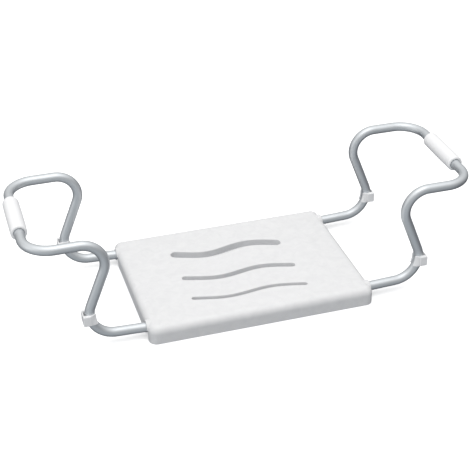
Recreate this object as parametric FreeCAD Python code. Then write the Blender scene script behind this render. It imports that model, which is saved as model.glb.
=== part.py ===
import FreeCAD, Part
import math
import os

# Bath seat that hangs between the two rims of a bathtub.
# A moulded white seat board is carried by two bent aluminium tube frames.
# Each frame's legs slide in the board's underside, so that the seat fits baths of
# different widths, and clamp saddles with screws hold them where they are set.
# X runs across the bath, Y from front to back, Z up. Millimetres.
# The origin is the centre of the board's flat underside.

# Driving dimensions of the seat board
board_length = 382.0
board_width = 282.0
board_height = 30.0
corner_radius = 13.0
top_fillet = 12.0
skirt_wall = 3.0
panel_thickness = 3.5

# Driving dimensions of the two tube frames
tube_radius = 8.0
tube_wall = 1.5
leg_spacing = 227.0
leg_tilt = 2.2
leg_height = 18.2
leg_inner_end = 62.0
foot_vertex_x = 298.5
shoulder_vertex_x = 231.8
cross_bar_x = 367.1
arm_height = 188.6
foot_bend_radius = 41.5
shoulder_bend_radius = 37.5
corner_bend_radius = 44.0

# Fits
sliding_clearance = 0.05
press_clearance = 0.02

# Wave-shaped drain slots: the middle height in Y, the wave's size and the width
wave_length = 158.0
wave_start = -5.0
wave_tilt = 0.045
slot_from_x = -105.0
slot_to_x = 91.0
slots = [
    {"middle": 55.0, "swing": 8.3, "width": 18.0},
    {"middle": -21.5, "swing": 6.7, "width": 11.5},
    {"middle": -83.0, "swing": 5.3, "width": 8.0},
]
collar_wall = 2.0
collar_bottom = 17.5
slot_edge_round = 1.4

# Ribs under the panel
rib_thickness = 2.0
rib_bottom = 17.5
long_rib_y = [18.0, -55.0]
cross_rib_x = [-112.0, -56.0, 0.0, 56.0, 112.0]
channel_rib_offset = 16.5

# Leg channel, measured along the leg from the board's end face (inwards is negative)
hood_radius = 11.5
hood_reach = 1.6
hood_root = -26.0
hood_round = 1.4
arch_radius = 9.2
notch_width = 21.0
notch_depth = 12.0
cradle_half_width = 15.5
cradle_height = 8.0
shoe_from = -20.0
shoe_to = -10.0
saddle_from = -55.0
saddle_to = -37.0
inner_cradle_from = -92.0
inner_cradle_to = -84.0

# Clamp saddle, its screws and their inserts
saddle_gap = 1.0
saddle_flange = 4.5
saddle_depth = 11.5
saddle_half_width = 22.0
saddle_trough_half_width = 11.5
saddle_edge_round = 1.2
screw_offset = 17.0
screw_radius = 1.95
screw_hole_radius = 2.2
screw_reach = 6.0
screw_head_radius = 3.75
screw_head_height = 2.6
screw_head_round = 1.4
screw_point_chamfer = 0.5
recess_half_length = 2.0
recess_half_width = 0.45
recess_depth = 1.5
insert_radius = 2.8
insert_bore = 2.0
insert_length = 8.0
insert_sink = 0.2
insert_waist_half = 0.8
insert_waist_depth = 0.4
boss_radius = 4.6
boss_top = 10.5

# Guide shoe
shoe_depth = 11.0
shoe_half_width = 14.0
peg_offset = 12.0
peg_radius = 1.6
peg_height = 6.0
peg_end_gap = 0.5
shoe_gap = 0.3
shoe_edge_round = 4.0

# Hand grips, bumper clips and end plugs
grip_radius = 13.5
grip_length = 98.0
grip_mouth_radius = 8.9
grip_mouth_depth = 3.0
grip_edge_round = 2.5
clip_inner_x = 268.5
clip_outer_x = 291.5
clip_bottom = 47.0
clip_top = 65.0
clip_half_width = 12.0
clip_pad_depth = 13.0
clip_pad_wall = 1.6
clip_sleeve_radius = 10.4
clip_mouth_half_width = 5.5
clip_pocket_half_width = 6.5
clip_pocket_bottom = 55.0
clip_edge_round = 1.2
plug_length = 14.0
plug_cap = 2.0
plug_groove = (4.0, 6.0)
plug_groove_depth = 0.6

V = FreeCAD.Vector
X_AXIS = V(1, 0, 0)
Y_AXIS = V(0, 1, 0)
Z_AXIS = V(0, 0, 1)
SIDES = {"left": -1, "right": 1}
ROWS = {"front": -1, "rear": 1}


def box(x_range, y_range, z_range):
    """A block between the given pairs of limits."""
    size = [high - low for low, high in (x_range, y_range, z_range)]
    return Part.makeBox(*size, V(x_range[0], y_range[0], z_range[0]))


def rod(radius, x_range):
    """A cylinder along X, centred on the leg's axis."""
    return Part.makeCylinder(radius, x_range[1] - x_range[0], V(x_range[0], 0, 0), X_AXIS)


def post(radius, x, y, z_range):
    """An upright cylinder."""
    return Part.makeCylinder(radius, z_range[1] - z_range[0], V(x, y, z_range[0]), Z_AXIS)


def edges_at(shape, axis, value):
    """The shape's edges that lie wholly at one value of x, y or z."""
    found = []
    for edge in shape.Edges:
        limits = edge.BoundBox
        low = getattr(limits, axis + "Min")
        high = getattr(limits, axis + "Max")
        if abs(low - value) < 1e-4 and abs(high - value) < 1e-4:
            found.append(edge)
    return found


def at_leg(shape, side, row):
    """Moves a shape from a leg's own frame to one of the four legs.

    The leg's own frame has its origin where the leg's axis meets the board's end face,
    X along the tube away from the board, and Z at right angles to the tube.
    """
    placed = shape.copy()
    origin = V(board_length / 2, row * leg_spacing / 2, leg_height)
    placed.Placement = FreeCAD.Placement(origin, FreeCAD.Rotation(Y_AXIS, -leg_tilt))
    return placed if side > 0 else placed.mirror(V(0, 0, 0), X_AXIS)


# --- Seat board -----------------------------------------------------------------------


def rounded_block(length, width, height, plan_radius, top_radius):
    """A block with rounded upright corners and a rounded top edge, standing on z = 0."""
    block = box((-length / 2, length / 2), (-width / 2, width / 2), (0, height))
    upright = [edge for edge in block.Edges if abs(edge.BoundBox.ZLength - height) < 1e-4]
    block = block.makeFillet(plan_radius, upright)
    return block.makeFillet(top_radius, edges_at(block, "Z", height))


def wave_point(slot, x, aside):
    """A point at a distance to the rear of the slot's centre line."""
    phase = 2 * math.pi * (x - wave_start) / wave_length
    y = slot["middle"] - wave_tilt * x + slot["swing"] * math.sin(phase)
    slope = slot["swing"] * math.cos(phase) * 2 * math.pi / wave_length - wave_tilt
    across = V(-slope, 1, 0).normalize()
    return V(x, y, 0) + across * aside


def wave_prism(slot, grow, z_range):
    """The slot's round-ended wave, made wider all round by `grow`, between two heights."""
    half = slot["width"] / 2 + grow
    first = slot_from_x + slot["width"] / 2
    last = slot_to_x - slot["width"] / 2
    steps = 12
    stations = [first + (last - first) * k / steps for k in range(steps + 1)]
    edges = []
    sides = []
    for aside in (half, -half):
        curve = Part.BSplineCurve()
        curve.interpolate([wave_point(slot, x, aside) for x in stations])
        sides.append(curve.toShape())
    for x, outwards in ((first, -1), (last, 1)):
        rear = wave_point(slot, x, half)
        front = wave_point(slot, x, -half)
        across = (rear - front).normalize()
        tip = (rear + front) * 0.5 + across.cross(Z_AXIS) * half * outwards
        edges.append(Part.Arc(rear, tip, front).toShape())
    outline = Part.Wire(Part.__sortEdges__(sides + edges))
    face = Part.Face(outline)
    face.translate(V(0, 0, z_range[0]))
    return face.extrude(V(0, 0, z_range[1] - z_range[0]))


def hood():
    """Half-round hood over a leg where it leaves the board, with a soft outer edge."""
    round_bar = rod(hood_radius, (hood_root, hood_reach))
    round_bar = round_bar.makeFillet(hood_round, edges_at(round_bar, "X", hood_reach))
    upper = box((hood_root - 1, hood_reach + 1), (-hood_radius, hood_radius), (0, hood_radius))
    return round_bar.common(upper)


def leg_cradles():
    """The blocks over a leg that the tube bears on, and the screw bosses, for one leg."""
    cradles = []
    for span in ((shoe_from, shoe_to), (saddle_from, saddle_to), (inner_cradle_from, inner_cradle_to)):
        cradles.append(box(span, (-cradle_half_width, cradle_half_width), (0, cradle_height)))
    saddle_x = (saddle_from + saddle_to) / 2
    for y in (-screw_offset, screw_offset):
        cradles.append(post(boss_radius, saddle_x, y, (-saddle_gap, boss_top)))
    return cradles


def leg_cuts():
    """What is taken out of the board for one leg: arch, notch, tube way and screw holes."""
    saddle_x = (saddle_from + saddle_to) / 2
    tube_way = rod(tube_radius + sliding_clearance, (inner_cradle_from - 1, hood_root + 1))
    shoe_way = rod(tube_radius + sliding_clearance, (shoe_from - 1, shoe_to))
    arch = rod(arch_radius, (shoe_to, hood_reach + 1))
    behind_shoe = rod(arch_radius, (hood_root, shoe_from))
    notch = box((-notch_depth, hood_reach + 1), (-notch_width / 2, notch_width / 2), (-leg_height - 2, 0))
    cuts = [tube_way, shoe_way, arch, behind_shoe, notch]
    insert_top = insert_length - saddle_gap
    for y in (-screw_offset, screw_offset):
        cuts.append(post(insert_radius + press_clearance, saddle_x, y, (-saddle_gap - 1, insert_top)))
    shoe_x = (shoe_from + shoe_to) / 2
    for y in (-peg_offset, peg_offset):
        cuts.append(post(peg_radius + press_clearance, shoe_x, y, (-1, peg_height + peg_end_gap)))
    return cuts


def panel_ribs():
    """Straight ribs under the panel, between the two leg channels and along them."""
    under_panel = board_height - panel_thickness / 2
    half_length = board_length / 2 - skirt_wall / 2
    half_rib = rib_thickness / 2
    inner_channel_y = leg_spacing / 2 - channel_rib_offset
    height = (rib_bottom, under_panel)
    ribs = []
    for y in long_rib_y:
        ribs.append(box((-half_length, half_length), (y - half_rib, y + half_rib), height))
    for x in cross_rib_x:
        span = (-inner_channel_y, inner_channel_y)
        ribs.append(box((x - half_rib, x + half_rib), span, height))
    for row in ROWS.values():
        for offset in (-channel_rib_offset, channel_rib_offset):
            y = row * leg_spacing / 2 + offset
            ribs.append(box((-half_length, half_length), (y - half_rib, y + half_rib), height))
    return ribs


def seat_board():
    """The one-piece moulded board: panel, skirt, ribs, slot collars and leg channels."""
    outside = rounded_block(board_length, board_width, board_height, corner_radius, top_fillet)
    hollow = rounded_block(
        board_length - 2 * skirt_wall,
        board_width - 2 * skirt_wall,
        board_height - panel_thickness,
        corner_radius - skirt_wall,
        top_fillet - skirt_wall,
    )
    hoods = []
    added = panel_ribs()
    cuts = []
    for side in SIDES.values():
        for row in ROWS.values():
            hoods.append(at_leg(hood(), side, row))
            added += [at_leg(block, side, row) for block in leg_cradles()]
            cuts += [at_leg(cut, side, row) for cut in leg_cuts()]
    for slot in slots:
        added.append(wave_prism(slot, collar_wall, (collar_bottom, board_height - panel_thickness / 2)))
        cuts.append(wave_prism(slot, 0, (-1, board_height + 1)))
    inside_works = added[0].multiFuse(added[1:]).common(outside)
    board = outside.cut(hollow).multiFuse([inside_works] + hoods)
    board = board.cut(Part.makeCompound(cuts)).removeSplitter()
    slot_rims = []
    for edge in edges_at(board, "Z", board_height):
        limits = edge.BoundBox
        reach = max(abs(limits.YMin), abs(limits.YMax), abs(limits.XMin), abs(limits.XMax))
        if reach < slot_to_x + 10:
            slot_rims.append(edge)
    return board.makeFillet(slot_edge_round, slot_rims)


# --- Tube frame -----------------------------------------------------------------------


def leg_point(x, y):
    """The point of the right-hand leg axis at a given x."""
    rise = (x - board_length / 2) * math.tan(math.radians(leg_tilt))
    return V(x, y, leg_height + rise)


def rounded_path(points, radii):
    """Straight runs through the points, joined by arcs of the given radii."""
    edges = []
    run_start = points[0]
    for before, corner, after, radius in zip(points, points[1:], points[2:], radii):
        back = (before - corner).normalize()
        onward = (after - corner).normalize()
        half_angle = back.getAngle(onward) / 2
        trim = radius / math.tan(half_angle)
        arc_start = corner + back * trim
        arc_end = corner + onward * trim
        bisector = (back + onward).normalize()
        middle = corner + bisector * (radius / math.sin(half_angle) - radius)
        edges.append(Part.makeLine(run_start, arc_start))
        edges.append(Part.Arc(arc_start, middle, arc_end).toShape())
        run_start = arc_end
    edges.append(Part.makeLine(run_start, points[-1]))
    return Part.Wire(edges)


def swept_round(path, radius):
    """A round bar along a path."""
    start = path.Edges[0]
    section = Part.makeCircle(radius, start.Vertexes[0].Point, start.tangentAt(start.FirstParameter))
    return path.makePipeShell([Part.Wire(section)], True, False)


def frame_tube(side):
    """One bent tube: two legs, two uprights, two arms and the cross-bar."""
    front = -leg_spacing / 2
    half = [
        leg_point(leg_inner_end, front),
        leg_point(foot_vertex_x, front),
        V(shoulder_vertex_x, front, arm_height),
        V(cross_bar_x, front, arm_height),
    ]
    other_half = [V(p.x, -p.y, p.z) for p in reversed(half)]
    bends = [foot_bend_radius, shoulder_bend_radius, corner_bend_radius]
    path = rounded_path(half + other_half, bends + bends[::-1])
    tube = swept_round(path, tube_radius).cut(swept_round(path, tube_radius - tube_wall))
    expected = math.pi * (tube_radius**2 - (tube_radius - tube_wall) ** 2) * path.Length
    if abs(tube.Volume - expected) > 0.002 * expected:
        raise ValueError("the tube's volume is not its section times its length")
    return tube if side > 0 else tube.mirror(V(0, 0, 0), X_AXIS)


def foot_bend_centre():
    """Centre of the lower bend, in the plane of the right-hand frame's leg."""
    corner = leg_point(foot_vertex_x, 0)
    back = (leg_point(leg_inner_end, 0) - corner).normalize()
    onward = (V(shoulder_vertex_x, 0, arm_height) - corner).normalize()
    half_angle = back.getAngle(onward) / 2
    return corner + (back + onward).normalize() * (foot_bend_radius / math.sin(half_angle))


def bumper_clip(side, row):
    """A round sleeve that snaps on the lower bend, open inwards, with a flat pad block."""
    width = (-clip_half_width, clip_half_width)
    height = (clip_bottom, clip_top)
    cut_height = (clip_bottom - 1, clip_top + 1)
    centre = foot_bend_centre()
    pad = box((clip_outer_x - clip_pad_depth, clip_outer_x), width, height)
    pad = pad.makeFillet(clip_edge_round, pad.Edges)
    sleeve = Part.makeTorus(foot_bend_radius, clip_sleeve_radius, centre, Y_AXIS)
    sleeve = sleeve.common(box((clip_inner_x, clip_outer_x - clip_pad_depth / 2), width, height))
    bore = Part.makeTorus(foot_bend_radius, tube_radius + sliding_clearance, centre, Y_AXIS)
    bore = bore.common(box((clip_inner_x - 1, clip_outer_x - clip_pad_wall), width, cut_height))
    axis_x = centre.x + foot_bend_radius
    mouth_width = (-clip_mouth_half_width, clip_mouth_half_width)
    mouth = box((clip_inner_x - 1, axis_x - tube_radius / 2), mouth_width, cut_height)
    pocket_width = (-clip_pocket_half_width, clip_pocket_half_width)
    pocket_height = (clip_pocket_bottom, clip_top + 1)
    pocket = box((axis_x, clip_outer_x - clip_pad_wall), pocket_width, pocket_height)
    clip = pad.fuse(sleeve).cut(bore).cut(mouth).cut(pocket).removeSplitter()
    clip.translate(V(0, row * leg_spacing / 2, 0))
    return clip if side > 0 else clip.mirror(V(0, 0, 0), X_AXIS)


def grip_sleeve(side):
    """A thick plastic sleeve on the cross-bar, with a slightly wider mouth at each end."""
    start = -grip_length / 2
    body = Part.makeCylinder(grip_radius, grip_length, V(0, start, 0), Y_AXIS)
    ends = edges_at(body, "Y", start) + edges_at(body, "Y", -start)
    body = body.makeFillet(grip_edge_round, ends)
    bore_radius = tube_radius + sliding_clearance
    body = body.cut(Part.makeCylinder(bore_radius, grip_length + 2, V(0, start - 1, 0), Y_AXIS))
    for mouth_from in (start - 1, -start - grip_mouth_depth):
        mouth = Part.makeCylinder(grip_mouth_radius, grip_mouth_depth + 1, V(0, mouth_from, 0), Y_AXIS)
        body = body.cut(mouth)
    body.translate(V(side * cross_bar_x, 0, arm_height))
    return body


def tube_plug():
    """A stopper in a leg's inner end: a cap as wide as the tube and a body inside it."""
    end = (leg_inner_end - board_length / 2) / math.cos(math.radians(leg_tilt))
    bore = tube_radius - tube_wall - press_clearance
    cap = rod(tube_radius, (end - plug_cap, end))
    cap = cap.makeFillet(plug_cap / 2, edges_at(cap, "X", end - plug_cap))
    body = rod(bore, (end - plug_cap / 2, end + plug_length))
    groove = (end + plug_groove[0], end + plug_groove[1])
    groove_ring = rod(bore + 1, groove).cut(rod(bore - plug_groove_depth, groove))
    return cap.fuse(body).cut(groove_ring)


# --- Clamp parts, in the leg's own frame ----------------------------------------------


def clamp_saddle():
    """A saddle that pulls the tube up against its cradle."""
    span = (saddle_from, saddle_to)
    flange = box(span, (-saddle_half_width, saddle_half_width), (-saddle_gap - saddle_flange, -saddle_gap))
    trough = box(span, (-saddle_trough_half_width, saddle_trough_half_width), (-saddle_depth, -saddle_gap))
    saddle = flange.fuse(trough).removeSplitter()
    outer_edges = []
    for edge in saddle.Edges:
        if edge.BoundBox.XLength > 1 and edge.BoundBox.ZMax < -saddle_gap - 0.1:
            outer_edges.append(edge)
    saddle = saddle.makeFillet(saddle_edge_round, outer_edges)
    saddle = saddle.cut(rod(tube_radius + sliding_clearance, (saddle_from - 1, saddle_to + 1)))
    saddle_x = (saddle_from + saddle_to) / 2
    for y in (-screw_offset, screw_offset):
        saddle = saddle.cut(post(screw_hole_radius, saddle_x, y, (-saddle_depth, 0)))
    return saddle


def saddle_screws():
    """The two pan-head screws of a saddle, each with a cross recess."""
    saddle_x = (saddle_from + saddle_to) / 2
    seat_z = -saddle_gap - saddle_flange
    head_bottom = seat_z - screw_head_height
    screws = []
    for y in (-screw_offset, screw_offset):
        head = post(screw_head_radius, saddle_x, y, (head_bottom, seat_z))
        head = head.makeFillet(screw_head_round, edges_at(head, "Z", head_bottom))
        shank = post(screw_radius, saddle_x, y, (seat_z - 0.5, screw_reach))
        shank = shank.makeChamfer(screw_point_chamfer, edges_at(shank, "Z", screw_reach))
        screw = head.fuse(shank)
        recess_z = (head_bottom - 1, head_bottom + recess_depth)
        for along, aside in ((recess_half_length, recess_half_width), (recess_half_width, recess_half_length)):
            arm = box((saddle_x - along, saddle_x + along), (y - aside, y + aside), recess_z)
            screw = screw.cut(arm)
        screws.append(screw)
    return Part.makeCompound(screws)


def screw_inserts():
    """The two brass inserts that a saddle's screws turn into, each with a waist."""
    saddle_x = (saddle_from + saddle_to) / 2
    bottom = -saddle_gap + insert_sink
    top = -saddle_gap + insert_length
    middle = (bottom + top) / 2
    waist = (middle - insert_waist_half, middle + insert_waist_half)
    waist_radius = insert_radius - insert_waist_depth
    inserts = []
    for y in (-screw_offset, screw_offset):
        insert = post(insert_radius, saddle_x, y, (bottom, top))
        insert = insert.cut(post(insert_bore, saddle_x, y, (bottom - 1, top + 1)))
        ring = post(insert_radius + 1, saddle_x, y, waist).cut(post(waist_radius, saddle_x, y, waist))
        inserts.append(insert.cut(ring))
    return Part.makeCompound(inserts)


def guide_shoe():
    """A nylon shoe under the tube near the board's end, pegged up into its cradle."""
    span = (shoe_from, shoe_to)
    block = box(span, (-shoe_half_width, shoe_half_width), (-shoe_depth, -shoe_gap))
    lower_edges = [edge for edge in edges_at(block, "Z", -shoe_depth) if edge.BoundBox.XLength > 1]
    block = block.makeFillet(shoe_edge_round, lower_edges)
    block = block.cut(rod(tube_radius + sliding_clearance, (shoe_from - 1, shoe_to + 1)))
    shoe_x = (shoe_from + shoe_to) / 2
    pegs = [post(peg_radius, shoe_x, y, (-2, peg_height)) for y in (-peg_offset, peg_offset)]
    return block.multiFuse(pegs)


def write(shape, node):
    """Writes one node, after checking that it is made of closed, valid solids."""
    if not shape.isValid() or not shape.Solids:
        raise ValueError(node + " is not a valid solid")
    shape.exportStep("parts/" + node + ".step")
    limits = shape.BoundBox
    print(node, len(shape.Solids), round(shape.Volume / 1000, 2), "cm3", limits)


os.makedirs("parts", exist_ok=True)
write(seat_board(), "seat_board")
for side_name, side in SIDES.items():
    write(frame_tube(side), side_name + "_frame_tube")
    write(grip_sleeve(side), side_name + "_grip_sleeve")
    for row_name, row in ROWS.items():
        place = "_" + side_name + "_" + row_name
        write(bumper_clip(side, row), "bumper_clip" + place)
        write(at_leg(tube_plug(), side, row), "tube_plug" + place)
        write(at_leg(guide_shoe(), side, row), "guide_shoe" + place)
        write(at_leg(clamp_saddle(), side, row), "clamp_saddle" + place)
        write(at_leg(saddle_screws(), side, row), "saddle_screws" + place)
        write(at_leg(screw_inserts(), side, row), "screw_inserts" + place)
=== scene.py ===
import math

import bmesh
import bpy
from mathutils import Matrix, Vector


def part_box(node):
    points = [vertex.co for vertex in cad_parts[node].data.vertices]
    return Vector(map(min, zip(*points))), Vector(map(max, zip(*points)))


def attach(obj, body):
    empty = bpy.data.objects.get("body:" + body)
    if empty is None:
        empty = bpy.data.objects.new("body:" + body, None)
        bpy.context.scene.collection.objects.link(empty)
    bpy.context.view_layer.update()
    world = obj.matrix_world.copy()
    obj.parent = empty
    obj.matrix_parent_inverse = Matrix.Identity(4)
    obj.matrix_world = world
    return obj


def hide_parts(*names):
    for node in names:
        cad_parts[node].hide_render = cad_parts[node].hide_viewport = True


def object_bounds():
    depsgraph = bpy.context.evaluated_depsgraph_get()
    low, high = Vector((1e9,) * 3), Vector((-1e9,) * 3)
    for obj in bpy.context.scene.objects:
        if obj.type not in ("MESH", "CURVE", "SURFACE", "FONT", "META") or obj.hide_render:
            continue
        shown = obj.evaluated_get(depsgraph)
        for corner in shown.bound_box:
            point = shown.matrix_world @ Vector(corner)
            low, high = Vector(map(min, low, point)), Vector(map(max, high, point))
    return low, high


# A bath seat: a moulded board carried between the rims of a bath by two bent tube frames.
# X runs across the bath, Y from front to back, Z up, in metres. The board's underside is z = 0.

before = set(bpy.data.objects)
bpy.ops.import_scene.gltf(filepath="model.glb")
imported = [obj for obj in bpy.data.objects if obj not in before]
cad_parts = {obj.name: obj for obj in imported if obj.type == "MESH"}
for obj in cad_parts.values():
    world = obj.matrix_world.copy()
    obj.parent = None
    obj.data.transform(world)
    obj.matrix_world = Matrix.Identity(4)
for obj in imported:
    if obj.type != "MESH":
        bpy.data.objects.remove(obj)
cad_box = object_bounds()


# ---- Seat board --------------------------------------------------------------------------
# One injection moulding in white polypropylene, 3 to 3.5 mm thick, with ribs underneath.
# Its tool is spark-eroded, which leaves a fine even grain with a soft sheen all over, and
# the melt's flow leaves faint cloudy patches in the gloss.

MM = 0.001


def linear(hex_colour):
    """An sRGB hex colour as linear red, green, blue and alpha."""
    channels = [int(hex_colour[i : i + 2], 16) / 255 for i in (1, 3, 5)]
    return [c / 12.92 if c <= 0.04045 else ((c + 0.055) / 1.055) ** 2.4 for c in channels] + [1]


def add_node(tree, kind, settings=None, links=None):
    """Adds a node. A setting is one of its properties, or an input by name or number."""
    node = tree.nodes.new(kind)
    for name, value in (settings or {}).items():
        if isinstance(name, str) and hasattr(node, name):
            setattr(node, name, value)
        else:
            node.inputs[name].default_value = value
    for name, source in (links or {}).items():
        tree.links.new(source, node.inputs[name])
    return node


def new_finish(name, settings):
    """A material with one Principled shader. Gives the material, its node tree and the shader."""
    material = bpy.data.materials.new(name)
    material.use_nodes = True
    tree = material.node_tree
    tree.nodes.clear()
    shader = add_node(tree, "ShaderNodeBsdfPrincipled", settings)
    add_node(tree, "ShaderNodeOutputMaterial", links={"Surface": shader.outputs["BSDF"]})
    return material, tree, shader


def per_metre(size_mm):
    """The texture scale at which a pattern repeats every size_mm."""
    return 1 / (size_mm * MM)


def wear(node_name, material):
    """Gives a CAD node its finish."""
    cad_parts[node_name].material_slots[0].material = material


board_white = "#EFEFEF"
board_cloud = "#DFDFE0"
board_roughness = (0.36, 0.54)
erosion_grain = 0.9  # real grain is 0.05 mm; drawn coarser, or it wouldn't show
erosion_height = 0.06
flow_patch = 14.0
glow_depth = 2.0

moulded_polypropylene, tree, shader = new_finish(
    "polypropylene_spark_eroded",
    {
        "IOR": 1.49,
        "Specular IOR Level": 0.42,
        "Subsurface Weight": 0.3,
        "Subsurface Radius": (1.0, 1.0, 1.0),
        "Subsurface Scale": glow_depth * MM,
    },
)
place = add_node(tree, "ShaderNodeTexCoord").outputs["Object"]
grain = add_node(
    tree,
    "ShaderNodeTexNoise",
    {"Scale": per_metre(erosion_grain), "Detail": 3.0, "Roughness": 0.6},
    {"Vector": place},
)
flow = add_node(
    tree,
    "ShaderNodeTexNoise",
    {"Scale": per_metre(flow_patch), "Detail": 6.0, "Distortion": 0.8},
    {"Vector": place},
)
cloud = add_node(
    tree,
    "ShaderNodeMix",
    {"data_type": "RGBA", 6: linear(board_white), 7: linear(board_cloud)},
    {0: flow.outputs["Fac"]},
)
sheen = add_node(
    tree,
    "ShaderNodeMapRange",
    {"To Min": board_roughness[0], "To Max": board_roughness[1]},
    {"Value": flow.outputs["Fac"]},
)
relief = add_node(
    tree,
    "ShaderNodeBump",
    {"Strength": 0.5, "Distance": erosion_height * MM},
    {"Height": grain.outputs["Fac"]},
)
tree.links.new(cloud.outputs[2], shader.inputs["Base Color"])
tree.links.new(sheen.outputs["Result"], shader.inputs["Roughness"])
tree.links.new(relief.outputs["Normal"], shader.inputs["Normal"])
wear("seat_board", moulded_polypropylene)


# ---- Guide shoes -------------------------------------------------------------------------
# Four nylon blocks under the legs near the board's ends, pegged up into it. Natural nylon is
# a warm ivory, slightly waxy, with the swirl of a slow-filled thick moulding.

nylon_ivory = "#E8E1CE"
nylon_pale = "#EFEADC"
nylon_roughness = (0.3, 0.46)
swirl = 7.0
swirl_height = 0.05

natural_nylon, tree, shader = new_finish("nylon_natural_moulded", {"IOR": 1.53})
place = add_node(tree, "ShaderNodeTexCoord").outputs["Object"]
swirls = add_node(
    tree,
    "ShaderNodeTexNoise",
    {"Scale": per_metre(swirl), "Detail": 3.0, "Distortion": 2.5},
    {"Vector": place},
)
tone = add_node(
    tree,
    "ShaderNodeMix",
    {"data_type": "RGBA", 6: linear(nylon_ivory), 7: linear(nylon_pale)},
    {0: swirls.outputs["Fac"]},
)
waxy = add_node(
    tree,
    "ShaderNodeMapRange",
    {"To Min": nylon_roughness[0], "To Max": nylon_roughness[1]},
    {"Value": swirls.outputs["Fac"]},
)
relief = add_node(
    tree,
    "ShaderNodeBump",
    {"Strength": 0.25, "Distance": swirl_height * MM},
    {"Height": swirls.outputs["Fac"]},
)
tree.links.new(tone.outputs[2], shader.inputs["Base Color"])
tree.links.new(waxy.outputs["Result"], shader.inputs["Roughness"])
tree.links.new(relief.outputs["Normal"], shader.inputs["Normal"])

SIDES = {"left": -1, "right": 1}
places = [side + "_" + row for side in SIDES for row in ("front", "rear")]
for where in places:
    wear("guide_shoe_" + where, natural_nylon)


# ---- Clamp saddles -----------------------------------------------------------------------
# Four saddles that pull the legs up against the board. They are glass-filled nylon: greyer
# and harder than the board, with short fibres that show as fine flecks in a dull skin.

saddle_grey = "#D9DBDD"
fibre_fleck = "#C4C7CA"
saddle_roughness = (0.45, 0.65)
fibre_length = 1.6  # real fibres are 0.3 mm long; drawn longer, or they wouldn't show
fibre_stretch = 0.3  # the fibres lie along the flow, which ran across the bath
fibre_height = 0.04

glass_filled_nylon, tree, shader = new_finish(
    "nylon_glass_filled", {"IOR": 1.53, "Specular IOR Level": 0.4}
)
place = add_node(tree, "ShaderNodeTexCoord").outputs["Object"]
combed = add_node(
    tree,
    "ShaderNodeMapping",
    {"Scale": (fibre_stretch, 1.0, 1.0)},
    {"Vector": place},
)
fibres = add_node(
    tree,
    "ShaderNodeTexNoise",
    {"Scale": per_metre(fibre_length), "Detail": 4.0, "Roughness": 0.7},
    {"Vector": combed.outputs["Vector"]},
)
flecks = add_node(
    tree,
    "ShaderNodeMapRange",
    {"From Min": 0.55, "From Max": 0.75},
    {"Value": fibres.outputs["Fac"]},
)
tone = add_node(
    tree,
    "ShaderNodeMix",
    {"data_type": "RGBA", 6: linear(saddle_grey), 7: linear(fibre_fleck)},
    {0: flecks.outputs["Result"]},
)
dull = add_node(
    tree,
    "ShaderNodeMapRange",
    {"To Min": saddle_roughness[0], "To Max": saddle_roughness[1]},
    {"Value": fibres.outputs["Fac"]},
)
relief = add_node(
    tree,
    "ShaderNodeBump",
    {"Strength": 0.4, "Distance": fibre_height * MM},
    {"Height": fibres.outputs["Fac"]},
)
tree.links.new(tone.outputs[2], shader.inputs["Base Color"])
tree.links.new(dull.outputs["Result"], shader.inputs["Roughness"])
tree.links.new(relief.outputs["Normal"], shader.inputs["Normal"])

for where in places:
    wear("clamp_saddle_" + where, glass_filled_nylon)


# ---- Screw inserts -----------------------------------------------------------------------
# Turned brass, pressed warm into the board's bosses. Hidden once the saddles are on, they
# keep the plain yellow of cut brass with fine turning marks.

brass_yellow = "#CFAE63"
turning_mark = 0.25
turning_height = 0.01


def wave_scale(size_mm):
    """The scale at which a wave texture repeats every size_mm. It has 20 radians to a unit."""
    return per_metre(size_mm) * math.tau / 20


turned_brass, tree, shader = new_finish(
    "brass_turned", {"Base Color": linear(brass_yellow), "Metallic": 1.0, "Roughness": 0.28}
)
place = add_node(tree, "ShaderNodeTexCoord").outputs["Object"]
marks = add_node(
    tree,
    "ShaderNodeTexWave",
    {"bands_direction": "Z", "Scale": wave_scale(turning_mark), "Distortion": 0.4},
    {"Vector": place},
)
relief = add_node(
    tree,
    "ShaderNodeBump",
    {"Strength": 0.3, "Distance": turning_height * MM},
    {"Height": marks.outputs["Fac"]},
)
tree.links.new(relief.outputs["Normal"], shader.inputs["Normal"])

for where in places:
    wear("screw_inserts_" + where, turned_brass)


# ---- Saddle screws -----------------------------------------------------------------------
# Eight M4 pan-head machine screws in stainless steel with a cross recess, two for each
# saddle. The heads are turned, which leaves fine rings round their middle.

thread_radius = 1.95 * MM
thread_pitch = 0.7 * MM
thread_depth = 0.42 * MM
shank_length = 11.5 * MM
head_radius = 3.75 * MM
head_height = 2.6 * MM
head_round = 1.4 * MM
recess_half_length = 2.0 * MM
recess_half_width = 0.45 * MM
recess_depth = 1.5 * MM
recess_taper = 0.6
point_taper = 0.15
sharp_angle = math.radians(35)
steps_a_turn = 32
steps_a_round = 6
steps_a_pitch = 6
steel_grey = "#B7BABE"
steel_roughness = (0.2, 0.34)
ring_spacing = 0.3
ring_height = 0.01


def skin(name, rings, closed=False):
    """A mesh over rings of points, one after another. Ends that aren't closed get a cap."""
    mesh = bpy.data.meshes.new(name)
    shape = bmesh.new()
    rows = [[shape.verts.new(point) for point in ring] for ring in rings]
    count = len(rings[0])
    pairs = list(zip(rows, rows[1:] + rows[:1])) if closed else list(zip(rows, rows[1:]))
    for near, far in pairs:
        for i in range(count):
            j = (i + 1) % count
            shape.faces.new((near[i], near[j], far[j], far[i]))
    if not closed:
        shape.faces.new(rows[0])
        shape.faces.new(rows[-1])
    bmesh.ops.recalc_face_normals(shape, faces=shape.faces)
    for face in shape.faces:
        face.smooth = True
    shape.to_mesh(mesh)
    shape.free()
    mesh.set_sharp_from_angle(angle=sharp_angle)
    return mesh


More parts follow.
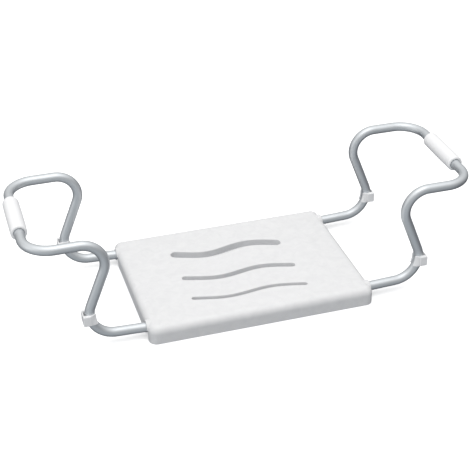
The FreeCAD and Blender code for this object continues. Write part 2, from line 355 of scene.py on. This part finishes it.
def add_piece(name, mesh, material=None):
    """Puts a mesh in the scene as an object at the origin."""
    piece = bpy.data.objects.new(name, mesh)
    bpy.context.scene.collection.objects.link(piece)
    if material:
        mesh.materials.clear()
        mesh.materials.append(material)
    return piece


def made_plain(piece, name):
    """Replaces an object that has modifiers with a plain mesh object."""
    graph = bpy.context.evaluated_depsgraph_get()
    mesh = bpy.data.meshes.new_from_object(piece.evaluated_get(graph))
    bpy.data.objects.remove(piece)
    return add_piece(name, mesh)


def circle(radius, height):
    """Points round the Z axis."""
    angles = [2 * math.pi * i / steps_a_turn for i in range(steps_a_turn)]
    return [Vector((radius * math.cos(angle), radius * math.sin(angle), height)) for angle in angles]


def threaded_ring(height):
    """Points of the thread at one height: the radius falls and rises once a turn."""
    ring = []
    for i, point in enumerate(circle(1.0, height)):
        phase = (height / thread_pitch - i / steps_a_turn) % 1
        fade = min(1.0, (shank_length - height) / thread_pitch)
        crest = thread_radius * (1 - point_taper + point_taper * fade)
        radius = crest - thread_depth * abs(2 * phase - 1)
        ring.append(Vector((point.x * radius, point.y * radius, height)))
    return ring


rings = [circle(head_radius - head_round, -head_height)]
for k in range(1, steps_a_round + 1):
    turn = math.pi / 2 * k / steps_a_round
    reach = head_radius - head_round * (1 - math.sin(turn))
    rings.append(circle(reach, -head_height + head_round * (1 - math.cos(turn))))
rings.append(circle(head_radius, 0))
rings.append(circle(thread_radius, 0))
thread_steps = int(shank_length / thread_pitch * steps_a_pitch)
for k in range(1, thread_steps + 1):
    rings.append(threaded_ring(shank_length * k / thread_steps))
screw = add_piece("screw_pattern", skin("screw_pattern", rings))


def cross_outline(half_length, half_width, height):
    """Points round a cross with four like arms."""
    arm = [(half_length, -half_width), (half_length, half_width), (half_width, half_width)]
    turns = [Matrix.Rotation(math.pi / 2 * k, 3, "Z") for k in range(4)]
    return [turn @ Vector((x, y, height)) for turn in turns for x, y in arm]


recess_rings = [
    cross_outline(recess_half_length, recess_half_width, -head_height - recess_depth),
    cross_outline(recess_half_length, recess_half_width, -head_height),
    cross_outline(
        recess_half_length * recess_taper,
        recess_half_width * recess_taper,
        -head_height + recess_depth,
    ),
]
cutter = add_piece("cross_cutter", skin("cross_cutter", recess_rings))
recess = screw.modifiers.new("cross_recess", "BOOLEAN")
recess.object = cutter
recess.operation = "DIFFERENCE"
screw = made_plain(screw, "screw_pattern")
screw.data.set_sharp_from_angle(angle=sharp_angle)
bpy.data.objects.remove(cutter)


def new_tree(name, inputs):
    """A geometry node tree with named inputs. Gives the tree and its input and output nodes."""
    tree = bpy.data.node_groups.new(name, "GeometryNodeTree")
    tree.interface.new_socket("Geometry", in_out="OUTPUT", socket_type="NodeSocketGeometry")
    tree.interface.new_socket("Geometry", in_out="INPUT", socket_type="NodeSocketGeometry")
    for label, kind in inputs.items():
        tree.interface.new_socket(label, in_out="INPUT", socket_type="NodeSocket" + kind)
    return tree, add_node(tree, "NodeGroupInput"), add_node(tree, "NodeGroupOutput")


def run_tree(piece, tree, values):
    """Adds the tree to an object as a modifier, with its inputs set by identifier."""
    modifier = piece.modifiers.new(tree.name, "NODES")
    modifier.node_group = tree
    for socket in tree.interface.items_tree:
        if socket.in_out == "INPUT" and socket.name in values:
            modifier[socket.identifier] = values[socket.name]


turned_steel, tree, shader = new_finish(
    "stainless_steel_turned", {"Base Color": linear(steel_grey), "Metallic": 1.0}
)
own_place = add_node(tree, "ShaderNodeAttribute", {"attribute_name": "own_place"})
flat_place = add_node(
    tree, "ShaderNodeMapping", {"Scale": (1.0, 1.0, 0.0)}, {"Vector": own_place.outputs["Vector"]}
)
rings_round = add_node(
    tree,
    "ShaderNodeTexWave",
    {
        "wave_type": "RINGS",
        "rings_direction": "SPHERICAL",
        "Scale": wave_scale(ring_spacing),
        "Distortion": 0.6,
    },
    {"Vector": flat_place.outputs["Vector"]},
)
polish = add_node(
    tree,
    "ShaderNodeMapRange",
    {"To Min": steel_roughness[0], "To Max": steel_roughness[1]},
    {"Value": rings_round.outputs["Fac"]},
)
relief = add_node(
    tree,
    "ShaderNodeBump",
    {"Strength": 0.3, "Distance": ring_height * MM},
    {"Height": rings_round.outputs["Fac"]},
)
tree.links.new(polish.outputs["Result"], shader.inputs["Roughness"])
tree.links.new(relief.outputs["Normal"], shader.inputs["Normal"])

tree, given, result = new_tree(
    "screws_at_points", {"Screw": "Object", "Turn seed": "Int", "Finish": "Material"}
)
pattern = add_node(
    tree,
    "GeometryNodeObjectInfo",
    {"transform_space": "ORIGINAL"},
    {"Object": given.outputs["Screw"]},
)
keep_place = add_node(
    tree,
    "GeometryNodeStoreNamedAttribute",
    {"data_type": "FLOAT_VECTOR", "Name": "own_place"},
    {
        "Geometry": pattern.outputs["Geometry"],
        "Value": add_node(tree, "GeometryNodeInputPosition").outputs["Position"],
    },
)
lean = add_node(
    tree, "GeometryNodeInputNamedAttribute", {"data_type": "FLOAT_VECTOR", "Name": "lean"}
)
aimed = add_node(
    tree, "FunctionNodeAlignRotationToVector", {"axis": "Z"}, {"Vector": lean.outputs["Attribute"]}
)
chance = add_node(
    tree,
    "FunctionNodeRandomValue",
    {"data_type": "FLOAT", 2: 0.0, 3: math.pi},
    {"Seed": given.outputs["Turn seed"]},
)
twist = add_node(
    tree, "FunctionNodeAxisAngleToRotation", {"Axis": (0, 0, 1)}, {"Angle": chance.outputs[1]}
)
turned = add_node(
    tree,
    "FunctionNodeRotateRotation",
    {"rotation_space": "LOCAL"},
    {"Rotation": aimed.outputs["Rotation"], "Rotate By": twist.outputs["Rotation"]},
)
placed = add_node(
    tree,
    "GeometryNodeInstanceOnPoints",
    links={
        "Points": given.outputs["Geometry"],
        "Instance": keep_place.outputs["Geometry"],
        "Rotation": turned.outputs["Rotation"],
    },
)
real = add_node(
    tree,
    "GeometryNodeRealizeInstances",
    links={"Geometry": placed.outputs["Instances"]},
)
finished = add_node(
    tree,
    "GeometryNodeSetMaterial",
    links={"Geometry": real.outputs["Geometry"], "Material": given.outputs["Finish"]},
)
tree.links.new(finished.outputs["Geometry"], result.inputs["Geometry"])
screws_at_points = tree

# Each saddle's two screws stand at the two ends of their box along Y, their heads' rims on its
# floor, and lean square to the leg, which rises away from the board's middle.
leg_tilt = math.radians(2.2)
edge_hang = 0.1 * MM  # how far the leaning head's rim hangs below its middle
seat_points = bmesh.new()
lean_layer = seat_points.verts.layers.float_vector.new("lean")
for side_name, side in SIDES.items():
    for row_name in ("front", "rear"):
        low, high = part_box("saddle_screws_" + side_name + "_" + row_name)
        upwards = Vector((-side * math.sin(leg_tilt), 0, math.cos(leg_tilt)))
        head_x = (low.x + high.x) / 2
        head_top = low.z + (head_height + edge_hang) * math.cos(leg_tilt)
        for y in (low.y + head_radius, high.y - head_radius):
            point = seat_points.verts.new((head_x, y, head_top))
            point[lean_layer] = upwards
points_mesh = bpy.data.meshes.new("screw_points")
seat_points.to_mesh(points_mesh)
seat_points.free()
screw_points = add_piece("screw_points", points_mesh)
run_tree(screw_points, screws_at_points, {"Screw": screw, "Turn seed": 4, "Finish": turned_steel})
saddle_screws = made_plain(screw_points, "pan_head_screws")
bpy.data.objects.remove(screw)
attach(saddle_screws, "seat")
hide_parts(*["saddle_screws_" + where for where in places])


# ---- Tube frames -------------------------------------------------------------------------
# Two frames, each bent from one length of 16 mm drawn aluminium tube with a 1.5 mm wall and
# satin anodised. Drawing leaves fine lines along the tube, which bend with it, and the
# anodised skin softens every reflection.

tube_radius = 8.0 * MM
tube_wall = 1.5 * MM
foot_bend = 41.5 * MM
shoulder_bend = 37.5 * MM
corner_bend = 44.0 * MM
foot_corner_x = 298.5 * MM
shoulder_corner_x = 231.8 * MM
leg_inner_x = 62.0 * MM
board_end_x = 191.0 * MM
leg_height_at_board_end = 18.2 * MM
sides_round = 64
steps_a_bend = 24
wall_sharp_angle = math.radians(50)
aluminium_grey = "#E4E7E8"
aluminium_shade = "#D2D6DA"
aluminium_roughness = (0.5, 0.6)
draw_line_across = 0.35  # real lines are finer; drawn as coarse as it takes to show
draw_line_along = 45.0
draw_line_height = 0.02
handling_patch = 22.0

tree, given, result = new_tree(
    "bent_tube", {"Tube radius": "Float", "Steps a bend": "Int", "Sides": "Int", "Finish": "Material"}
)
route = add_node(tree, "GeometryNodeMeshToCurve", links={"Mesh": given.outputs["Geometry"]})
bend = add_node(
    tree,
    "GeometryNodeInputNamedAttribute",
    {"data_type": "FLOAT", "Name": "bend_radius"},
)
bent = add_node(
    tree,
    "GeometryNodeFilletCurve",
    {"mode": "POLY"},
    {
        "Curve": route.outputs["Curve"],
        "Radius": bend.outputs["Attribute"],
        "Count": given.outputs["Steps a bend"],
    },
)
travelled = add_node(tree, "GeometryNodeSplineParameter")
measured = add_node(
    tree,
    "GeometryNodeStoreNamedAttribute",
    {"data_type": "FLOAT", "Name": "along"},
    {"Geometry": bent.outputs["Curve"], "Value": travelled.outputs["Length"]},
)
round_section = add_node(
    tree,
    "GeometryNodeCurvePrimitiveCircle",
    links={"Resolution": given.outputs["Sides"], "Radius": given.outputs["Tube radius"]},
)
marked_section = add_node(
    tree,
    "GeometryNodeStoreNamedAttribute",
    {"data_type": "FLOAT_VECTOR", "Name": "around"},
    {
        "Geometry": round_section.outputs["Curve"],
        "Value": add_node(tree, "GeometryNodeInputPosition").outputs["Position"],
    },
)
swept = add_node(
    tree,
    "GeometryNodeCurveToMesh",
    links={"Curve": measured.outputs["Geometry"], "Profile Curve": marked_section.outputs["Geometry"]},
)
smooth = add_node(tree, "GeometryNodeSetShadeSmooth", links={"Geometry": swept.outputs["Mesh"]})
real = add_node(
    tree,
    "GeometryNodeRealizeInstances",
    links={"Geometry": smooth.outputs["Geometry"]},
)
finished = add_node(
    tree,
    "GeometryNodeSetMaterial",
    links={"Geometry": real.outputs["Geometry"], "Material": given.outputs["Finish"]},
)
tree.links.new(finished.outputs["Geometry"], result.inputs["Geometry"])
bent_tube = tree

satin_aluminium, tree, shader = new_finish("aluminium_drawn_satin_anodised", {"Metallic": 1.0})
along = add_node(tree, "ShaderNodeAttribute", {"attribute_name": "along"})
around = add_node(tree, "ShaderNodeAttribute", {"attribute_name": "around"})
around_parts = add_node(tree, "ShaderNodeSeparateXYZ", links={"Vector": around.outputs["Vector"]})
straightened = add_node(
    tree,
    "ShaderNodeCombineXYZ",
    links={
        "X": along.outputs["Fac"],
        "Y": around_parts.outputs["X"],
        "Z": around_parts.outputs["Y"],
    },
)
drawn_out = add_node(
    tree,
    "ShaderNodeMapping",
    {"Scale": (per_metre(draw_line_along), per_metre(draw_line_across), per_metre(draw_line_across))},
    {"Vector": straightened.outputs["Vector"]},
)
draw_lines = add_node(
    tree,
    "ShaderNodeTexNoise",
    {"Scale": 1.0, "Detail": 3.0, "Roughness": 0.65},
    {"Vector": drawn_out.outputs["Vector"]},
)
handling = add_node(
    tree,
    "ShaderNodeTexNoise",
    {"Scale": per_metre(handling_patch), "Detail": 4.0, "Roughness": 0.6},
    {"Vector": straightened.outputs["Vector"]},
)
blend = add_node(
    tree,
    "ShaderNodeMath",
    {"operation": "MULTIPLY"},
    {0: draw_lines.outputs["Fac"], 1: handling.outputs["Fac"]},
)
tone = add_node(
    tree,
    "ShaderNodeMix",
    {"data_type": "RGBA", 6: linear(aluminium_grey), 7: linear(aluminium_shade)},
    {0: draw_lines.outputs["Fac"]},
)
satin = add_node(
    tree,
    "ShaderNodeMapRange",
    {
        "From Min": 0.1,
        "From Max": 0.45,
        "To Min": aluminium_roughness[0],
        "To Max": aluminium_roughness[1],
    },
    {"Value": blend.outputs["Value"]},
)
relief = add_node(
    tree,
    "ShaderNodeBump",
    {"Strength": 0.18, "Distance": draw_line_height * MM},
    {"Height": draw_lines.outputs["Fac"]},
)
tree.links.new(tone.outputs[2], shader.inputs["Base Color"])
tree.links.new(satin.outputs["Result"], shader.inputs["Roughness"])
tree.links.new(relief.outputs["Normal"], shader.inputs["Normal"])


def leg_axis(x):
    """Height of the leg's axis at a distance from the board's middle."""
    return leg_height_at_board_end + (x - board_end_x) * math.tan(leg_tilt)


for side_name, side in SIDES.items():
    node_name = side_name + "_frame_tube"
    low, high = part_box(node_name)
    leg_y = high.y - tube_radius
    arm_z = high.z - tube_radius
    bar_x = max(abs(low.x), abs(high.x)) - tube_radius
    corners = [
        (leg_inner_x, leg_axis(leg_inner_x), 0.0),
        (foot_corner_x, leg_axis(foot_corner_x), foot_bend),
        (shoulder_corner_x, arm_z, shoulder_bend),
        (bar_x, arm_z, corner_bend),
    ]
    front = [((side * x, -leg_y, z), bend) for x, z, bend in corners]
    rear = [((side * x, leg_y, z), bend) for x, z, bend in reversed(corners)]
    route_mesh = bpy.data.meshes.new("tube_route")
    route_shape = bmesh.new()
    bend_layer = route_shape.verts.layers.float.new("bend_radius")
    chain = []
    for point, radius in front + rear:
        vertex = route_shape.verts.new(point)
        vertex[bend_layer] = radius
        chain.append(vertex)
    for near, far in zip(chain, chain[1:]):
        route_shape.edges.new((near, far))
    route_shape.to_mesh(route_mesh)
    route_shape.free()
    route_piece = add_piece("tube_route", route_mesh)
    run_tree(
        route_piece,
        bent_tube,
        {
            "Tube radius": tube_radius,
            "Steps a bend": steps_a_bend,
            "Sides": sides_round,
            "Finish": satin_aluminium,
        },
    )
    tube = made_plain(route_piece, "bent_tube_" + side_name)
    wall = tube.modifiers.new("wall", "SOLIDIFY")
    wall.thickness = tube_wall
    wall.offset = -1
    tube = made_plain(tube, "bent_tube_" + side_name)
    tube.data.set_sharp_from_angle(angle=wall_sharp_angle)
    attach(tube, side_name + "_frame")
    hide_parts(node_name)


# ---- Tube plugs --------------------------------------------------------------------------
# Four grey polyethylene stoppers in the legs' inner ends, pushed in by hand. Their skin is
# smooth and a little greasy, with scuffs from the push.

plug_grey = "#8E9297"
plug_roughness = (0.3, 0.6)
scuff = 3.0
scuff_height = 0.03

polyethylene_grey, tree, shader = new_finish(
    "polyethylene_grey_moulded", {"Base Color": linear(plug_grey), "IOR": 1.51}
)
place = add_node(tree, "ShaderNodeTexCoord").outputs["Object"]
scuffs = add_node(
    tree,
    "ShaderNodeTexNoise",
    {"Scale": per_metre(scuff), "Detail": 5.0, "Roughness": 0.7},
    {"Vector": place},
)
gloss = add_node(
    tree,
    "ShaderNodeMapRange",
    {"To Min": plug_roughness[0], "To Max": plug_roughness[1]},
    {"Value": scuffs.outputs["Fac"]},
)
relief = add_node(
    tree,
    "ShaderNodeBump",
    {"Strength": 0.3, "Distance": scuff_height * MM},
    {"Height": scuffs.outputs["Fac"]},
)
tree.links.new(gloss.outputs["Result"], shader.inputs["Roughness"])
tree.links.new(relief.outputs["Normal"], shader.inputs["Normal"])

for where in places:
    wear("tube_plug_" + where, polyethylene_grey)


# ---- Hand grips --------------------------------------------------------------------------
# A thick sleeve of soft white vinyl on each cross-bar, a little wider at both mouths to slip
# on over the bends. Its moulding is smooth with a faint orange peel, and a thin parting line
# runs along it on both sides.

grip_white = "#FBFBFB"
grip_shade = "#F7F7F8"
grip_crown = 0.35 * MM
grip_edge = 2.5 * MM
mouth_radius = 8.9 * MM
mouth_depth = 3.0 * MM
mouth_edge = 0.5 * MM
bore_radius = 8.05 * MM
parting_height = 0.15 * MM
parting_half_angle = math.radians(1.6)
grip_steps_round = 112
grip_steps_along = 24
grip_steps_edge = 6
grip_roughness = (0.34, 0.5)
orange_peel = 1.8
peel_height = 0.04
grasped_patch = 18.0

soft_vinyl, tree, shader = new_finish("vinyl_soft_white", {"IOR": 1.52, "Specular IOR Level": 0.45})
place = add_node(tree, "ShaderNodeTexCoord").outputs["Object"]
peel = add_node(
    tree, "ShaderNodeTexNoise", {"Scale": per_metre(orange_peel), "Detail": 2.0}, {"Vector": place}
)
handled = add_node(
    tree,
    "ShaderNodeTexNoise",
    {"Scale": per_metre(grasped_patch), "Detail": 4.0},
    {"Vector": place},
)
tone = add_node(
    tree,
    "ShaderNodeMix",
    {"data_type": "RGBA", 6: linear(grip_white), 7: linear(grip_shade)},
    {0: handled.outputs["Fac"]},
)
soft = add_node(
    tree,
    "ShaderNodeMapRange",
    {"To Min": grip_roughness[0], "To Max": grip_roughness[1]},
    {"Value": handled.outputs["Fac"]},
)
relief = add_node(
    tree,
    "ShaderNodeBump",
    {"Strength": 0.3, "Distance": peel_height * MM},
    {"Height": peel.outputs["Fac"]},
)
tree.links.new(tone.outputs[2], shader.inputs["Base Color"])
tree.links.new(soft.outputs["Result"], shader.inputs["Roughness"])
tree.links.new(relief.outputs["Normal"], shader.inputs["Normal"])


def grip_profile(outer_radius, half_length):
    """Radius, distance along and share of the parting line, once round the sleeve's wall."""
    outside = []
    straight = half_length - grip_edge
    for k in range(grip_steps_along + 1):
        s = -straight + 2 * straight * k / grip_steps_along
        outside.append((outer_radius - grip_crown * (s / half_length) ** 2, s, 1.0))
    end_radius = outside[-1][0]
    mouth = []
    for k in range(1, grip_steps_edge + 1):
        turn = math.pi / 2 * k / grip_steps_edge
        reach = end_radius - grip_edge * (1 - math.cos(turn))
        mouth.append((reach, straight + grip_edge * math.sin(turn), 1.0 - k / grip_steps_edge))
    mouth.append((mouth_radius + mouth_edge, half_length, 0.0))
    mouth.append((mouth_radius + mouth_edge * 0.3, half_length - mouth_edge * 0.3, 0.0))
    mouth.append((mouth_radius, half_length - mouth_edge, 0.0))
    mouth.append(((mouth_radius + bore_radius) / 2, half_length - mouth_depth * 0.9, 0.0))
    mouth.append((bore_radius, half_length - mouth_depth, 0.0))
    other_mouth = [(r, -s, share) for r, s, share in reversed(mouth)]
    return outside + mouth + other_mouth


for side_name in SIDES:
    node_name = side_name + "_grip_sleeve"
    low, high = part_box(node_name)
    middle = (low + high) / 2
    rings = []
    for radius, s, share in grip_profile((high.z - low.z) / 2 - parting_height, (high.y - low.y) / 2):
        ring = []
        for i in range(grip_steps_round):
            angle = 2 * math.pi * i / grip_steps_round
            from_parting = min(angle % math.pi, math.pi - angle % math.pi)
            raised = parting_height * share * max(0.0, 1 - from_parting / parting_half_angle)
            reach = radius + raised
            ring.append(middle + Vector((reach * math.cos(angle), s, reach * math.sin(angle))))
        rings.append(ring)
    name = "hand_grip_" + side_name
    grip = add_piece(name, skin(name, rings, closed=True), soft_vinyl)
    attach(grip, side_name + "_grip")
    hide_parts(node_name)


# ---- Bumper clips ------------------------------------------------------------------------
# Four white polyethylene clips: a sleeve snapped round the lower bend, and a block in front of
# it that bears on the bath's wall. The tool is polished, but they rub on enamel, so their
# gloss is uneven.

clip_white = "#FCFCFD"
clip_glow_depth = 2.0
clip_roughness = (0.32, 0.56)
rub = 5.0
rub_height = 0.03

polyethylene_white, tree, shader = new_finish(
    "polyethylene_white_moulded",
    {
        "Base Color": linear(clip_white),
        "IOR": 1.51,
        "Subsurface Weight": 0.4,
        "Subsurface Radius": (1.0, 1.0, 1.0),
        "Subsurface Scale": clip_glow_depth * MM,
    },
)
place = add_node(tree, "ShaderNodeTexCoord").outputs["Object"]
rubbed = add_node(
    tree,
    "ShaderNodeTexNoise",
    {"Scale": per_metre(rub), "Detail": 5.0, "Roughness": 0.65},
    {"Vector": place},
)
gloss = add_node(
    tree,
    "ShaderNodeMapRange",
    {"To Min": clip_roughness[0], "To Max": clip_roughness[1]},
    {"Value": rubbed.outputs["Fac"]},
)
relief = add_node(
    tree,
    "ShaderNodeBump",
    {"Strength": 0.25, "Distance": rub_height * MM},
    {"Height": rubbed.outputs["Fac"]},
)
tree.links.new(gloss.outputs["Result"], shader.inputs["Roughness"])
tree.links.new(relief.outputs["Normal"], shader.inputs["Normal"])

for where in places:
    wear("bumper_clip_" + where, polyethylene_white)


# ---- Studio ------------------------------------------------------------------------------
# A white seamless floor under a large softbox overhead and a weaker one on the left, in a room
# that is white above, grey near the camera's floor and nearly black on the far side's. The
# floor doesn't light the object or show in it, so the tubes keep their dark undersides.

floor_half_width = 20.0
floor_gap = 0.2 * MM
floor_white = "#FFFFFF"
floor_glow = 0.35
room_zenith = (0.98, 0.98, 0.98, 1)
room_horizon = (0.35, 0.355, 0.36, 1)
room_near_floor = (0.54, 0.57, 0.60, 1)
room_far_floor = (0.05, 0.055, 0.07, 1)
near_side = (-0.5, -0.85, 0.1)

floor_finish, tree, shader = new_finish(
    "painted_studio_floor",
    {
        "Base Color": linear(floor_white),
        "Roughness": 0.9,
        "Specular IOR Level": 0.0,
        "Emission Color": linear(floor_white),
        "Emission Strength": floor_glow,
    },
)
floor_mesh = bpy.data.meshes.new("studio_floor")
turns = ((-1, -1), (1, -1), (1, 1), (-1, 1))
floor_corners = [(x * floor_half_width, y * floor_half_width, 0) for x, y in turns]
floor_mesh.from_pydata(floor_corners, [], [(0, 1, 2, 3)])
floor = add_piece("studio_floor", floor_mesh, floor_finish)
floor.location.z = cad_box[0].z - floor_gap
floor.visible_glossy = False
floor.visible_diffuse = False

world = bpy.data.worlds.new("studio_room")
world.use_nodes = True
world.node_tree.nodes.clear()
direction = add_node(world.node_tree, "ShaderNodeTexCoord").outputs["Generated"]
height = add_node(world.node_tree, "ShaderNodeSeparateXYZ", links={"Vector": direction})
nearness = add_node(
    world.node_tree,
    "ShaderNodeVectorMath",
    {"operation": "DOT_PRODUCT", 1: near_side},
    {0: direction},
)
near = add_node(
    world.node_tree,
    "ShaderNodeMapRange",
    {"interpolation_type": "SMOOTHSTEP", "From Min": -0.2, "From Max": 0.7},
    {"Value": nearness.outputs["Value"]},
)
lower = add_node(
    world.node_tree,
    "ShaderNodeMix",
    {"data_type": "RGBA", 6: room_far_floor, 7: room_near_floor},
    {0: near.outputs["Result"]},
)
overhead = add_node(
    world.node_tree,
    "ShaderNodeMapRange",
    {"interpolation_type": "SMOOTHSTEP", "From Min": 0.1, "From Max": 0.85},
    {"Value": height.outputs["Z"]},
)
upper = add_node(
    world.node_tree,
    "ShaderNodeMix",
    {"data_type": "RGBA", 6: room_horizon, 7: room_zenith},
    {0: overhead.outputs["Result"]},
)
horizon = add_node(
    world.node_tree,
    "ShaderNodeMapRange",
    {"From Min": -0.2, "From Max": 0.1},
    {"Value": height.outputs["Z"]},
)
room = add_node(
    world.node_tree,
    "ShaderNodeMix",
    {"data_type": "RGBA"},
    {0: horizon.outputs["Result"], 6: lower.outputs[2], 7: upper.outputs[2]},
)
backing = add_node(
    world.node_tree,
    "ShaderNodeBackground",
    {"Strength": 1.0},
    {"Color": room.outputs[2]},
)
add_node(world.node_tree, "ShaderNodeOutputWorld", links={"Surface": backing.outputs["Background"]})
bpy.context.scene.world = world


def softbox(name, place, target, size, power):
    """A square soft light that faces a point."""
    light = bpy.data.lights.new(name, "AREA")
    light.size = size
    light.energy = power
    lamp = bpy.data.objects.new(name, light)
    lamp.location = place
    lamp.rotation_euler = (Vector(target) - Vector(place)).to_track_quat("-Z", "Y").to_euler()
    bpy.context.scene.collection.objects.link(lamp)


softbox("overhead_softbox", place=(-0.1, -0.5, 2.2), target=(0, 0, 0.05), size=1.6, power=15.0)
softbox("left_softbox", place=(-2.4, -0.3, 0.7), target=(0, 0, 0.1), size=1.4, power=8.0)

camera_place = Vector((-0.4885, -1.5844, 1.1021))
camera_target = Vector((-0.0126, -0.0175, 0.1010))
camera_roll = math.radians(-0.488)
camera_lens = 88.2

camera_data = bpy.data.cameras.new("camera")
camera_data.lens = camera_lens
camera_data.sensor_width = 36
camera = bpy.data.objects.new("camera", camera_data)
camera.location = camera_place
aim = (camera_target - camera_place).to_track_quat("-Z", "Y").to_matrix()
camera.rotation_euler = (aim @ Matrix.Rotation(camera_roll, 3, "Z")).to_euler()
bpy.context.scene.collection.objects.link(camera)
bpy.context.scene.camera = camera
bpy.context.scene.view_settings.view_transform = "Standard"
